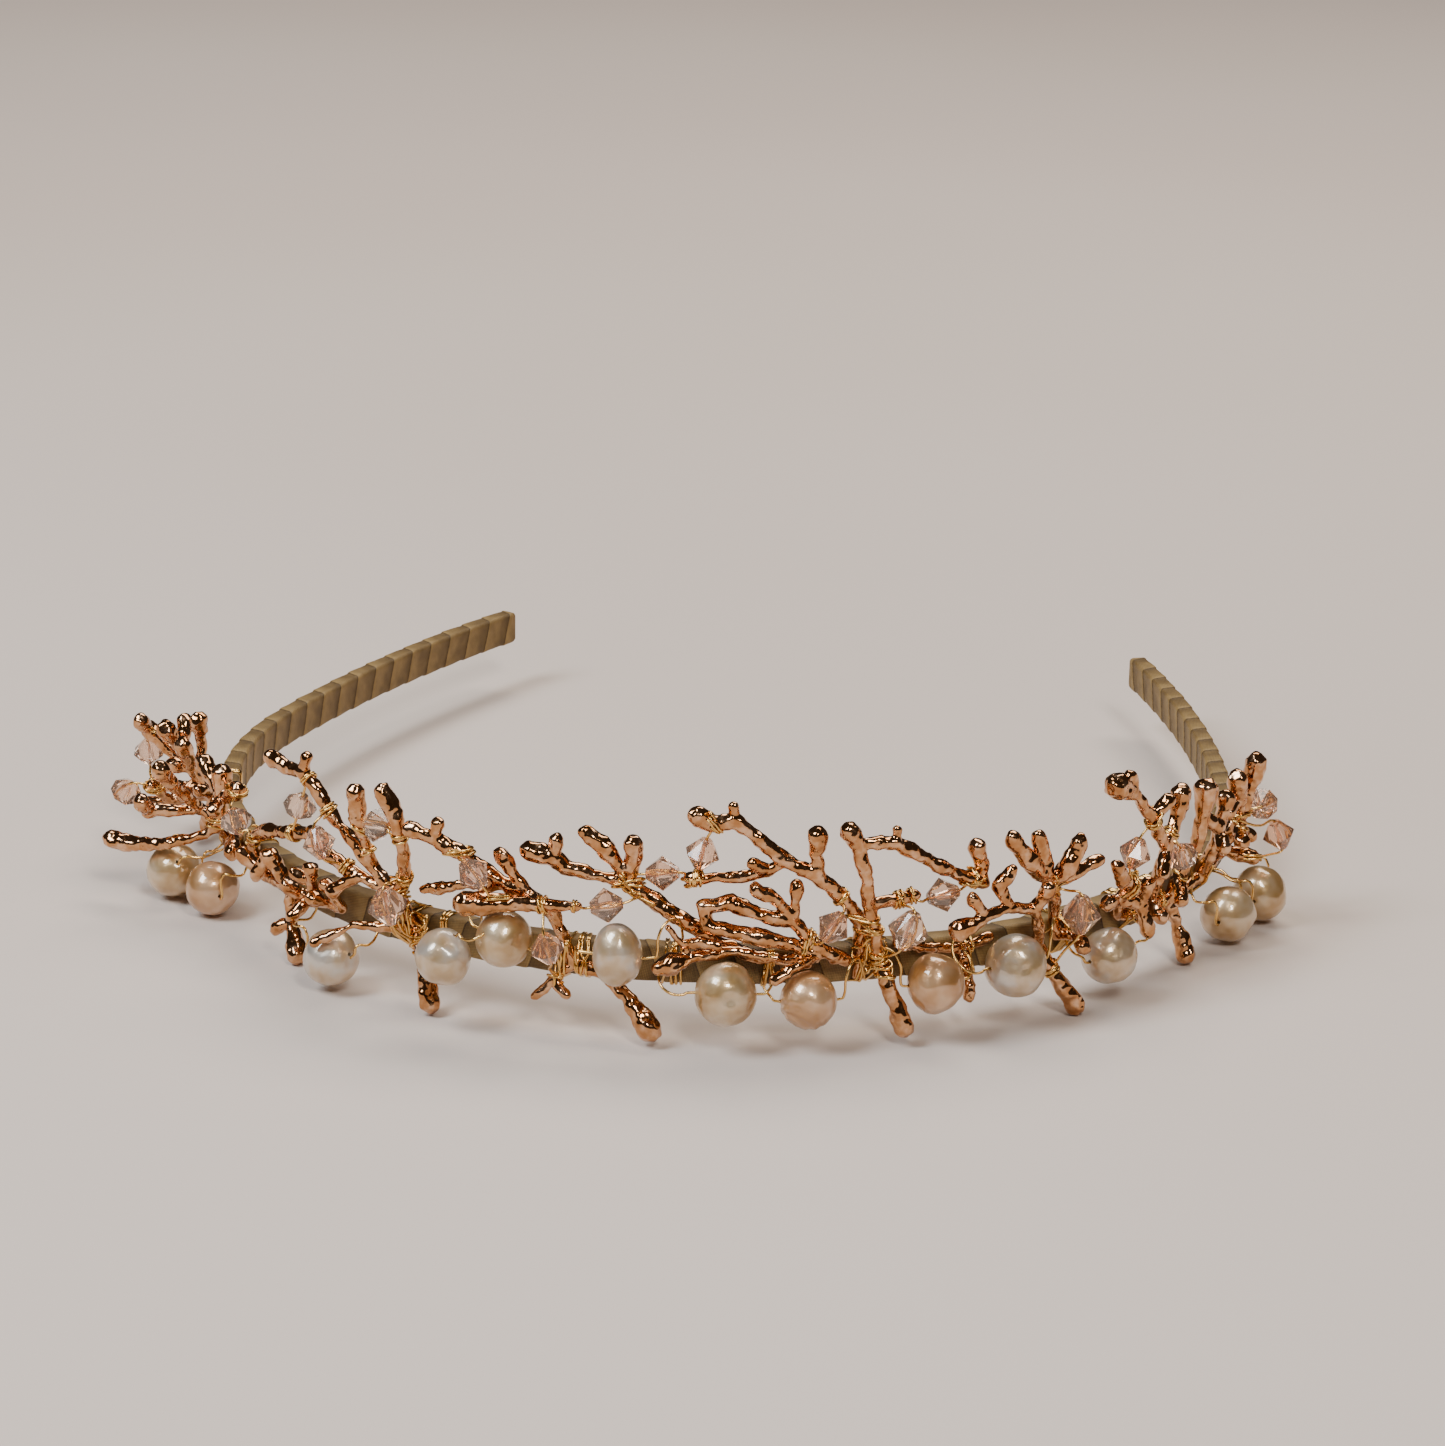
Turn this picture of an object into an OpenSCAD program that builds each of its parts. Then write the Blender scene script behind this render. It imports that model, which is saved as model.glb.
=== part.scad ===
// Bridal tiara: a sprung band wrapped in ribbon, with cast sprigs, pearls and crystals wired to its front.
// The band lies flat: +Z is across its width, the front of the crown points to -Y, and the origin is
// the centre of the crown arc, at half the band's width. Millimetres.

/* [Band] */
// Radius of the inside of the crown arc, where it grips the head
head_r = 61.4; // [56:0.2:74]
// Half of the angle that the crown arc spans
crown_half = 100; // [95:1:104]
// Radius of the straighter leg behind each end of the crown arc
leg_r = 216; // [170:1:260]
// Angle that each leg turns through, from the crown arc to its tip
leg_turn = 15; // [11:1:18]
// Width of the wrapped band
band_w = 4.4; // [3.6:0.1:6]
// Thickness of the wrapped band
band_t = 2.4; // [2:0.1:3.2]
// How much the wrapping softens each edge of the band
band_edge = 0.4; // [0.2:0.05:0.6]
// Width of the spring strip inside the ribbon
strip_w = 3; // [2:0.1:3.6]
// Thickness of the spring strip
strip_t = 1; // [0.6:0.1:1.4]
// Ribbon folded over the end of the strip at each tip
tip_fold = 1; // [0.6:0.1:2]
// Gap that stands for the flexing stretch between the crown and each leg
flex_gap = 0.3; // [0.25:0.05:0.5]

/* [Sprigs] */
// Thickness of the cast limbs, as a factor on the radius of every point
limb_scale = 1; // [0.8:0.05:1.2]
// How much the knobs swell beside the limbs, as a power of the radius of every point
knob_swell = 1.5; // [1:0.1:1.8]
// How deep a stem that lies on the band sinks into the ribbon
stem_sink = 0.14; // [0.1:0.02:0.3]
// Height of the sprigs, as a factor on every point above the band
rise_scale = 1; // [0.85:0.05:1.2]

/* [Pearls] */
// Diameter of a round pearl
pearl_d = 7; // [5.6:0.1:7.4]
// Gap between the back of a pearl and the band
pearl_gap = 0.25; // [0.15:0.05:0.6]

/* [Crystals] */
// Diameter of a crystal bead across its middle
crystal_d = 4; // [3.2:0.1:4.4]
// Length of a crystal bead along its hole
crystal_l = 3.7; // [3:0.1:4]
// Diameter of the flat end of a crystal bead
crystal_end = 1.3; // [1:0.1:1.6]
// Facets round a crystal bead
crystal_facets = 8; // [6, 8, 10]

/* [Wire] */
// Diameter of the jewellery wire
wire_d = 0.32; // [0.25:0.01:0.45]
// Play between the wire and the hole of a bead, on the radius
wire_play = 0.08; // [0.05:0.01:0.1]
// Spacing of neighbouring turns of a binding
turn_pitch = 0.5; // [0.45:0.05:0.8]

/* [Hidden] */
band_r = head_r + band_t / 2;
face_r = head_r + band_t;
wire_r = wire_d / 2;
hole_r = wire_r + wire_play;
steel = "#8d9096";
ribbon_gold = "#8f7a50";
rose_gold = "#b97a5c";
pearl_cream = "#ead3b4";
crystal_peach = "#e2ab93";
wire_gold = "#cfa24c";

// Every point is [along the band from its front, out from its outer face, up from its middle, radius].
sprigs = [
  ["sprig_left_end", [
    [[-76, 0.7, 0.5, 0.8], [-80, 0.7, 0, 0.8], [-85, 0.7, -0.5, 0.8]],
    [[-80, 0.7, 0, 0.8], [-82, 2, 2, 0.8], [-83, 5, 3.5, 0.7], [-85, 9, 7, 1.1]],
    [[-82, 2, 2, 0.7], [-80.5, 4.5, 5.5, 0.7], [-79.5, 6.5, 9, 1.1]],
    [[-85, 0.7, -0.5, 0.8], [-86, 5, -1, 0.7], [-88, 9, -1.5, 1]],
    [[-80, 0.7, 0, 0.8], [-79.5, 6, -0.5, 0.7], [-80, 10, -1, 0.9]],
    [[-79.5, 6, -0.5, 0.6], [-77.5, 8.5, 2.2, 0.8]],
    [[-76, 0.7, 0.5, 0.8], [-76, 3.5, 5, 0.8], [-74, 4.5, 8.6, 1.1]],
    [[-85, 0.7, -0.5, 0.8], [-86.5, 1.8, -4, 0.8], [-88, 2.5, -7, 1.1]],
    [[-76, 3.5, 5, 0.7], [-76.6, 5.8, 5.2, 1]],
    [[-83, 5, 3.5, 0.7], [-86.4, 6.2, 5.4, 1]],
    [[-80.5, 4.5, 5.5, 0.7], [-82.8, 4.4, 8.8, 1]],
    [[-86, 5, -1, 0.7], [-84.4, 6.6, -3.2, 1]],
    [[-85, 9, 7, 0.8], [-82.6, 9.8, 8.8, 1]],
    [[-80, 0.7, 0, 0.8], [-78.6, 2.2, 3, 0.8], [-79, 2.2, 7.4, 0.8], [-77, 2.4, 10.8, 1.1]],
    [[-78.6, 2.2, 3, 0.7], [-76.4, 4.4, 1.4, 0.95]]
  ]],
  ["sprig_left_side", [
    [[-69, 0.7, 0.5, 0.8], [-64, 0.7, -0.5, 0.8], [-59, 0.8, 0.3, 0.8]],
    [[-64, 0.7, -0.5, 0.8], [-63, 2, 2.4, 0.9], [-63.4, 3.8, 0.8, 0.7], [-64.8, 7.8, -0.4, 0.7],
      [-68.5, 11.5, -1.6, 0.9], [-70, 14, -1.4, 1.1]],
    [[-63, 2, 2.4, 0.8], [-65, 3.8, 3.6, 0.7], [-63.2, 6.8, 6.7, 0.7], [-61, 9.8, 10.5, 1.1]],
    [[-65, 3.8, 3.6, 0.7], [-65, 6.8, 3.6, 0.7], [-66.5, 9.8, 3.4, 1]],
    [[-63, 2, 2.4, 0.8], [-62.5, 1.8, 5.4, 0.8], [-62.5, 1.8, 8.6, 1.2]],
    [[-62.5, 1.8, 5.4, 0.7], [-67, 2.8, 8.8, 1.1]],
    [[-62.5, 1.8, 5.4, 0.7], [-58.5, 1.2, 7.8, 1.1]],
    [[-69, 0.7, 0.5, 0.8], [-70.8, 1.6, 3.4, 0.8], [-72.4, 2.4, 6.2, 1.1]],
    [[-70.8, 1.6, 3.4, 0.7], [-68.8, 3.2, 4.6, 0.9]],
    [[-59, 0.8, 0.3, 0.8], [-57.4, 2, 2.6, 0.8], [-55, 3.4, 1.4, 1]],
    [[-62.5, 1.8, 5.4, 0.7], [-60.4, 3.6, 5, 0.9]],
    [[-66.5, 9.8, 3.4, 0.8], [-64.6, 11.2, 5.2, 1]]
  ]],
  ["sprig_left_mid", [
    [[-56, 0.7, 0.3, 0.8], [-51, 1, -0.3, 0.8], [-44, 1.6, 0.3, 0.8], [-38.6, 1.8, 0.4, 0.8],
      [-34.5, 1.6, 0.6, 0.8]],
    [[-54, 0.8, 0, 0.8], [-51, 2.4, 4, 0.8], [-48, 2.8, 6.4, 0.8], [-42, 2.8, 8, 0.75], [-37, 2.6, 9, 0.9]],
    [[-44, 1.6, 0.3, 0.8], [-46, 3, 3.8, 1]],
    [[-38.6, 1.8, 0.4, 0.8], [-38, 2.8, 3, 0.7], [-37.3, 3.6, 5, 1]],
    [[-34.5, 1.6, 0.6, 0.7], [-35, 3.4, 3.6, 0.9]],
    [[-44, 1.6, 0.3, 0.8], [-44, 1.4, -4, 0.8], [-42.5, 1.8, -7.6, 1.2]],
    [[-51, 1, -0.3, 0.8], [-49.4, 2.8, 1.6, 0.8], [-50.6, 4, 2.8, 0.9]],
    [[-46, 3, 3.8, 0.8], [-47.6, 4, 1.2, 0.9]],
    [[-41.4, 1.7, 0.3, 0.8], [-41.8, 3.6, 1.6, 0.95]],
    [[-39.6, 1.7, 0.3, 0.7], [-40, 4.2, -1.4, 0.9]],
    [[-38, 2.8, 3, 0.6], [-39.8, 4, 3.8, 0.85]],
    [[-36.4, 1.7, 0.5, 0.7], [-36.4, 4.4, 1.8, 0.9]],
    [[-44, 1.4, -4, 0.7], [-45.6, 2.6, -5.2, 0.9]]
  ]],
  ["sprig_left_high", [
    [[-42.5, 4.8, 17.4, 1], [-39.6, 4.8, 16.9, 0.8], [-37, 4.8, 17.2, 0.9], [-35.2, 4.4, 15.3, 0.85],
      [-33.7, 3.8, 12.9, 0.8], [-31.9, 3.4, 10.9, 0.8], [-29.4, 2.8, 8.2, 0.8], [-25.7, 1.8, 4.3, 0.9]],
    [[-37, 4.8, 17.2, 0.8], [-36.4, 4.8, 19, 0.8]],
    [[-29, 4.8, 16.6, 1.1], [-29.1, 4.4, 13.5, 1], [-28.8, 3.6, 10.5, 0.7], [-28.4, 2.6, 7.3, 0.7]],
    [[-24.5, 5.8, 18, 1.1], [-23.2, 5.6, 15.5, 0.9], [-22.8, 4.8, 11.5, 0.8], [-23.5, 3.4, 7.5, 0.8],
      [-25.7, 1.8, 4.3, 0.8]],
    [[-25.7, 1.8, 4.3, 0.9], [-24.2, 0.8, 0.2, 0.8], [-22.2, 2, -2.8, 0.8], [-20.6, 3.2, -7.2, 1.2]],
    [[-32.8, 7.6, -1.8, 0.6], [-30, 4.4, 0.3, 0.6], [-26.5, 2.6, 0.5, 0.7], [-24.2, 0.8, 0.2, 0.7]],
    [[-35.6, 3.6, 7.6, 0.9], [-32, 3.2, 6.6, 0.8], [-28.8, 2.6, 5.2, 0.7], [-25.7, 1.8, 4.3, 0.7]],
    [[-30.4, 3, 5.9, 0.7], [-33, 4.4, 3.6, 0.9]]
  ]],
  ["sprig_left_front", [
    [[-21, 6, 14.5, 0.9], [-18.6, 5.8, 13.9, 0.9], [-16.1, 4.8, 12.5, 0.9], [-14, 3.4, 10.6, 0.9],
      [-11.5, 3.2, 8.8, 0.9], [-8.6, 2.8, 7.9, 0.9]],
    [[-18.4, 5.8, 13.9, 0.7], [-17.8, 5.8, 15.8, 0.7]],
    [[-11.5, 3.6, 12.5, 1], [-10, 3.2, 9.8, 0.7], [-8.6, 2.8, 7.9, 0.8]],
    [[-21, 3.4, 6.5, 0.7], [-15.6, 3.4, 8.2, 0.7], [-11.5, 3.2, 8.8, 0.8]],
    [[-14.5, 6.2, 7, 1.3], [-11, 5.4, 7.4, 1], [-7.9, 4.6, 7.4, 0.8], [-3, 3.8, 7.6, 0.7]],
    [[-7.9, 4.6, 7.4, 0.7], [-8.6, 2.8, 7.9, 0.8], [-6.4, 1.6, 5.6, 0.8], [-5.2, 0.8, 1.5, 0.8],
      [-4.2, 0.8, -0.5, 0.8]],
    [[-4.2, 0.8, -0.5, 0.7], [-6.4, 1.4, -2.4, 0.6], [-8.4, 1.8, -4.6, 0.7]],
    [[-6.4, 1.4, -2.4, 0.6], [-4.8, 2, -4, 0.7]],
    [[-4.2, 0.8, -0.5, 0.8], [-0.8, 0.8, -1.4, 0.8], [2, 2, -3.4, 0.8], [4.6, 3.2, -6.6, 1.3]]
  ]],
  ["sprig_centre_left", [
    [[-9, 2, 12.9, 1.1], [-6.5, 1.8, 12.5, 1.1], [-4.9, 1.6, 11.2, 0.9], [-1.3, 1.2, 10.4, 0.7],
      [1.7, 0.9, 9.9, 0.9]],
    [[-2.8, 1.8, 15.6, 0.9], [-0.6, 1.6, 14, 1.1], [1.2, 1.2, 11.2, 0.6], [1.7, 0.9, 9.9, 0.8]],
    [[2.4, 1.3, 14.4, 1.1], [2.2, 1.1, 12, 0.9], [1.7, 0.9, 9.9, 0.8]],
    [[-6.5, 1.8, 12.5, 0.9], [-5.8, 2.2, 14.4, 0.9]],
    [[1.7, 0.9, 9.9, 0.9], [4.8, 1, 7.8, 1], [8.6, 1, 5.4, 0.9], [12, 0.8, 3, 0.8], [16, 0.8, 1.4, 0.8],
      [21.6, 0.6, 0.4, 0.65]]
  ]],
  ["sprig_centre_low", [
    [[5.4, 4, 1, 0.7], [6.8, 3.4, 1.4, 1.2], [8.8, 2.6, 1.9, 0.8], [13, 2.4, 2.8, 0.65],
      [18.5, 2.4, 1.9, 0.65], [22.3, 2.4, 2, 0.8]],
    [[6.6, 3.8, 5.8, 0.6], [8, 3.2, 3.8, 0.55], [8.8, 2.6, 1.9, 0.6]],
    [[8, 3.2, 3.8, 0.55], [9.8, 3.8, 4.2, 0.75], [11.8, 3.8, 4, 0.6]],
    [[10.6, 3.4, 6, 0.8], [10.2, 2.9, 8.2, 0.9], [13.2, 2.6, 8.6, 0.95], [15.9, 2.6, 7.2, 0.85],
      [19.7, 2.4, 6.4, 0.85]],
    [[10.6, 3.4, 6, 0.8], [15, 3, 5, 0.9], [20, 2.6, 3.4, 0.8], [22.3, 2.4, 2, 0.8]],
    [[19.7, 2.4, 6.4, 0.8], [19.9, 2.6, 8.8, 0.7], [19.9, 2.6, 10.4, 0.9]],
    [[15.4, 3.4, 10.6, 0.85], [18, 2.8, 8.8, 0.7], [19.7, 2.4, 6.4, 0.7]],
    [[19.7, 2.4, 6.4, 0.8], [21.2, 2.4, 4.2, 0.8], [23.3, 2.4, 2.4, 0.85], [25.5, 1.6, 1.2, 0.8]],
    [[17.6, 5.2, 0.4, 0.8], [20, 4.4, 1.8, 0.6], [22.3, 2.4, 2, 0.7]]
  ]],
  ["sprig_centre_high", [
    [[9.3, 2.8, 18.8, 1.1], [11.2, 2.8, 17.9, 0.9], [13.2, 2.8, 18.4, 0.9], [15.9, 2.8, 16.1, 0.85],
      [18.5, 2.8, 13.7, 0.85], [20.9, 2.8, 12.5, 0.9], [23.4, 2.8, 10.4, 0.85], [25.8, 2.6, 7.8, 0.8],
      [27.2, 2, 5, 0.9], [27.4, 0.8, 1, 0.8], [27.2, 0.7, -1, 0.8]],
    [[13.2, 2.8, 18.4, 0.7], [13, 2.8, 20, 0.7]],
    [[21.9, 3.3, 16.6, 1.1], [21.8, 3.1, 14.5, 0.8], [22.2, 2.8, 11.5, 0.8]],
    [[8.4, 1.6, 11, 0.7], [13.9, 1.8, 11.4, 0.7], [17, 2.3, 12.3, 0.7], [18.5, 2.8, 13.7, 0.7]],
    [[15.2, 3, 13.3, 0.8], [17, 2.3, 12.3, 0.6]]
  ]],
  ["sprig_right_front", [
    [[24.9, 4.8, 17.5, 1.1], [25.8, 4.8, 15.9, 0.9], [26.9, 4.6, 11.5, 0.8], [27.3, 4, 8.4, 0.8],
      [28.2, 3.5, 5.4, 0.8], [28.8, 2.6, 1.5, 0.8], [30.1, 3.6, -2.4, 0.85], [31.4, 4.2, -6.4, 1.15]],
    [[25.8, 4.8, 15.9, 0.8], [28.1, 4.8, 16.1, 0.8], [30, 4.8, 15.8, 0.9], [33.1, 4.3, 13.6, 0.8],
      [36.8, 3.8, 11.2, 0.8], [40.4, 3.3, 9.4, 0.8]],
    [[30, 4.8, 15.8, 0.7], [29.9, 4.8, 17.4, 0.7]],
    [[39.3, 3.8, 14, 1], [40.2, 3.3, 11, 0.8], [40.4, 3.3, 9.4, 0.7]],
    [[27.3, 4, 8.4, 0.7], [32.4, 3.6, 9, 0.8]]
  ]],
  ["sprig_right_under", [
    [[31.6, 1.4, 2.6, 0.9], [34.5, 0.8, 1.5, 0.7], [39.6, 0.7, 0.6, 0.7], [43, 0.8, 1.5, 0.7]],
    [[39.6, 0.7, 0.6, 0.7], [39.5, 2, -1.8, 0.7], [39.5, 3, -4.2, 0.8]]
  ]],
  ["sprig_right_low", [
    [[36.4, 6.2, 5.2, 1.1], [39.7, 5.4, 6.1, 0.8], [42.9, 4.8, 6.6, 0.75], [46.4, 4, 5.4, 0.75],
      [48, 2.8, 2.4, 0.8], [48.8, 1.4, 0, 0.8], [50, 2.6, -3, 0.8], [52.4, 4, -7.4, 1.1]],
    [[42.9, 4.8, 6.6, 0.7], [41.4, 5, 9.4, 0.9], [42.6, 5.4, 11.2, 0.8]],
    [[39.7, 5.4, 6.1, 0.7], [38.2, 5.6, 8.4, 0.9]],
    [[46.4, 4, 5.4, 0.7], [47.2, 5.2, 8, 0.95]]
  ]],
  ["sprig_right_leaves", [
    [[43.4, 3.6, 14.4, 0.9], [46, 3.5, 11, 1.1], [49.5, 2.8, 7.4, 0.8]],
    [[47, 3.4, 13.8, 0.9], [48.4, 3.2, 10, 0.9], [49.5, 2.8, 7.4, 0.7]],
    [[52, 4.2, 12.6, 0.9], [51, 3.8, 9.8, 1.1], [49.5, 2.8, 7.4, 0.8]],
    [[55, 3.8, 9.6, 0.8], [52.4, 3.4, 8.6, 0.8], [49.5, 2.8, 7.4, 0.7]],
    [[49.5, 2.8, 7.4, 0.8], [51, 1.4, 4, 0.8], [52, 0.8, 0.4, 0.8], [55, 0.7, -0.6, 0.8]],
    [[52, 0.8, 0.4, 0.8], [53.2, 3, 0.6, 0.7], [52.8, 4.6, -0.4, 0.9]]
  ]],
  ["sprig_right_mid", [
    [[65, 0.7, -0.4, 0.8], [61.8, 0.7, 0.4, 0.8], [60.5, 1.6, 2.6, 0.8], [61.4, 3, 4.8, 1]],
    [[60.5, 1.6, 2.6, 0.7], [63.6, 2.4, 1.8, 0.9], [64.2, 3.2, -1.6, 0.9]],
    [[63.6, 2.4, 1.8, 0.7], [63.8, 3.4, 4.4, 0.9]],
    [[61.4, 3, 4.8, 0.7], [58.2, 4.4, 6.4, 0.9], [57, 4.8, 8.6, 0.9]],
    [[60.5, 1.6, 2.6, 0.7], [58.4, 2.6, 3.4, 0.7], [56.6, 4, 4, 1]]
  ]],
  ["sprig_right_high", [
    [[56.5, 4.8, 18.4, 1.4], [59.3, 4.8, 16.9, 0.7], [62.4, 4.6, 13, 0.8], [64.8, 4, 10, 0.8],
      [66.4, 3.6, 8, 0.8], [67.4, 2, 4, 0.8], [68, 0.7, 0.3, 0.8], [72, 0.7, -0.5, 0.8]],
    [[58.4, 4.8, 19.2, 0.8], [59.3, 4.8, 16.9, 0.6]],
    [[62.4, 4.6, 13, 0.7], [64.4, 5, 14.8, 0.95]],
    [[68.7, 3.8, 14, 1.2], [68.1, 3.6, 11.6, 0.9], [66.4, 3.6, 8, 0.8]],
    [[74.1, 3.8, 13.2, 1.3], [73.7, 3.6, 10.1, 0.9], [73.8, 3, 6.2, 0.8], [72.6, 1.6, 2.6, 0.8],
      [72, 0.7, -0.5, 0.8]],
    [[72, 0.7, -0.5, 0.8], [73, 1.4, -4, 0.8], [73.4, 2.6, -7.5, 1.1]],
    [[68, 0.7, 0.3, 0.8], [67, 3, -0.6, 0.95]],
    [[72.6, 1.6, 2.6, 0.7], [70.4, 3.4, 0.4, 0.95]],
    [[66.4, 3.6, 8, 0.7], [64.6, 4.8, 6, 0.9]],
    [[73.7, 3.6, 10.1, 0.7], [75.8, 4.6, 8.4, 0.95]]
  ]],
  ["sprig_right_end", [
    [[82.5, 3.8, 11.9, 1.2], [83.9, 3.8, 8.9, 0.8], [86, 3, 5, 0.8], [86.5, 1.2, 1.4, 0.8],
      [80, 0.7, 0, 0.8], [77, 0.7, -0.5, 0.7]],
    [[86.2, 4.8, 13, 1.3], [85.8, 4.4, 9.8, 0.9], [86, 3, 5, 0.8]],
    [[86.5, 1.2, 1.4, 0.8], [90, 1.2, 3, 0.8], [92.4, 2.6, 6, 1.1]],
    [[86.5, 1.2, 1.4, 0.8], [87.4, 4.8, 0.6, 0.9]],
    [[86, 3, 5, 0.7], [83.8, 4.4, 3.8, 0.95]],
    [[83.9, 3.8, 8.9, 0.7], [81.4, 3.2, 8, 0.95]],
    [[90, 1.2, 3, 0.7], [92, 3.2, 1.6, 0.9]],
    [[80, 0.7, 0, 0.8], [79, 2.4, 3.6, 0.8], [78.4, 3.4, 7, 0.7], [79.4, 3.8, 10.6, 1.1]],
    [[78.4, 3.4, 7, 0.7], [77, 4.8, 5.4, 0.95]]
  ]]
];

// Pearl: [along, extra out, up, width and height as factors on pearl_d, tilt of its wire].
pearls = [
  [-67.7, 3, -5, 1, 1, 35], [-61.2, 0, -5.2, 0.97, 0.97, 0], [-33.4, 0.6, -4.6, 0.97, 1, 20],
  [-17, 2.8, 0.2, 0.92, 0.97, 60], [-11.2, 0.2, 2.6, 0.93, 0.97, -15], [1.3, 0.2, 2.4, 0.84, 1.08, 0],
  [12.6, 0, -1.7, 1.03, 1.08, 0], [21.2, 0.2, -2.6, 0.94, 0.97, 0], [34.8, 0.5, -1.5, 0.96, 0.99, 0],
  [44.4, 0.2, -0.8, 1.04, 1.04, 0], [57.6, 0, -2.8, 0.97, 0.97, 0], [82.2, 0, -5, 1, 1, 0],
  [90.4, 1.4, -5, 1, 1, 0]
];

// Crystal: its centre, the two points on the sprigs that its wire grips, all [along, out, up], and its size.
crystals = [
  [[-87.5, 9.6, 3], [-85, 8.8, 6.6], [-88, 8.8, -1], 1],
  [[-79, 11.6, 1], [-80, 10, -1], [-77.5, 8.6, 2.4], 1],
  [[-54.2, 3, 5.6], [-58, 1.2, 7.6], [-51, 2.4, 4.4], 1],
  [[-38.8, 3.8, 12.3], [-36.4, 4.6, 16.4], [-41.4, 2.8, 8.2], 1],
  [[-33.4, 6, 9.8], [-34, 4, 13.2], [-32, 3.4, 6.8], 1],
  [[-26, 5, 13.6], [-28.9, 4.2, 12.6], [-23, 5, 13], 1],
  [[-24, 6, 4.6], [-23.6, 3.4, 7.4], [-23.2, 1.4, -1.2], 1.2],
  [[-13.4, 6.6, 10.8], [-16, 4.8, 12.5], [-11.2, 5.4, 7.6], 1],
  [[-5.6, 6, 3], [-6.6, 4.4, 7.2], [-5.4, 1.4, -2.2], 1], [[0, 3.8, 8], [-3, 3.8, 7.6], [4, 1, 8.4], 1],
  [[5.6, 1.4, 11.4], [1.9, 0.9, 10], [9, 1.6, 11], 1],
  [[9.9, 2.2, 14.2], [9.4, 1.6, 11.2], [11, 2.8, 17.8], 1],
  [[23.4, 5, 6.4], [21.6, 2.4, 4], [24.6, 2.8, 9.2], 1],
  [[31, 6, 5.8], [30.6, 3.8, 8.8], [28.9, 2.6, 1.6], 1.2],
  [[35.6, 3.6, 8.7], [32.4, 3.6, 9], [39, 3.4, 10], 1],
  [[51.6, 5.4, 4.2], [49.8, 3, 7.2], [50, 2.6, -3], 1.2],
  [[61.2, 3.4, 8.8], [61.4, 3, 5], [62.6, 4.6, 12.6], 1],
  [[70.2, 3.2, 6], [67.2, 3.6, 9.6], [72.4, 1.6, 2.8], 1],
  [[89.4, 5, 6.8], [86.1, 3.6, 6.6], [92.2, 2.6, 5.8], 1],
  [[89.6, 7.2, 3.1], [87.4, 4.8, 0.6], [86, 3.3, 5.6], 1]
];
crystals_left = 8;
crystals_centre = 13;
pearls_left = 4;
pearls_centre = 8;

// Binding round the band and the stems on it: [along, turns, reach out of its outer run].
bindings_left = [[-82.5, 4, 1.5], [-65, 4, 1.5], [-55, 3, 1.6], [-24.6, 4, 1.7]];
bindings_centre = [[-5.5, 3, 1.7], [-3.6, 3, 1.7], [6.6, 4, 4.6], [17.1, 2, 3.1]];
bindings_right = [[27.8, 5, 3.5], [40.4, 3, 1.6], [53, 4, 1.6], [63.2, 3, 1.5], [70, 4, 1.6], [80.5, 3, 1.6]];

// Winding round a knot of stems above the band: [along, out, up, radius, turns].
windings_left = [[-25.4, 2.2, 4.6, 1.6, 3]];
windings_centre = [[1.9, 1, 9.6, 1.3, 2]];
windings_right = [[27.4, 2.9, 6.3, 1.8, 4], [49.7, 2.8, 7, 1.4, 2]];

function unit(v) = v / norm(v);
function turn(along) = along / band_r * 180 / PI;
function lift(up) = up > band_w / 2 ? band_w / 2 + (up - band_w / 2) * rise_scale : up;
function place(p) = let (a = turn(p[0]), r = face_r + p[1]) [r * sin(a), -r * cos(a), lift(p[2])];

// A wire swept along points: a ring of corners at each point, turned as little as possible from the last.
function tangents(path) = let (n = len(path) - 1) [for (i = [0:n])
  unit(path[min(i + 1, n)] - path[max(i - 1, 0)])];
function normals(ts, last, i = 0) = i == len(ts) ? [] :
  let (m = unit(last - (last * ts[i]) * ts[i])) concat([m], normals(ts, m, i + 1));
module wire(path, side = [0.3, 0.2, 0.9], corners = 6) {
  ts = tangents(path);
  ns = normals(ts, side);
  last = len(path) - 1;
  rings = [for (i = [0:last]) for (k = [0:corners - 1])
    path[i] + wire_r * (cos(360 * k / corners) * ns[i] + sin(360 * k / corners) * cross(ts[i], ns[i]))];
  walls = [for (i = [0:last - 1]) for (k = [0:corners - 1]) let (n = (k + 1) % corners)
    [i * corners + k, (i + 1) * corners + k, (i + 1) * corners + n, i * corners + n]];
  first_end = [for (k = [0:corners - 1]) k];
  last_end = [for (k = [0:corners - 1]) (last + 1) * corners - 1 - k];
  polyhedron(points = rings, faces = concat(walls, [first_end, last_end]), convexity = 6);
}

// The section of a wrapped strip: a rectangle with softened edges, upright at the given radius.
module section(radius, thick, wide, edge) {
  x = thick / 2;
  y = wide / 2;
  translate([radius, 0])
    polygon([[-x, edge - y], [edge - x, -y], [x - edge, -y], [x, edge - y],
      [x, y - edge], [x - edge, y], [edge - x, y], [-x, y - edge]]);
}

// A stretch of the crown arc, centred on the front.
module crown_arc(thick, wide, edge) {
  rotate([0, 0, -90 - crown_half]) rotate_extrude(angle = 2 * crown_half, $fn = 180)
    section(band_r, thick, wide, edge);
}

// The right leg, from just past the crown arc to its tip, less a stretch at the tip.
module leg_arc(thick, wide, edge, short) {
  gap = flex_gap / leg_r * 180 / PI;
  cut = short / leg_r * 180 / PI;
  rotate([0, 0, crown_half - 90]) translate([band_r - leg_r, 0, 0])
    rotate([0, 0, gap]) rotate_extrude(angle = leg_turn - gap - cut, $fn = 360)
      section(leg_r, thick, wide, edge);
}

module strip_crown() color(steel) crown_arc(strip_t, strip_w, strip_t / 4);
module strip_right_leg() color(steel) leg_arc(strip_t, strip_w, strip_t / 4, tip_fold);
module strip_left_leg() mirror([1, 0, 0]) strip_right_leg();

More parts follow.
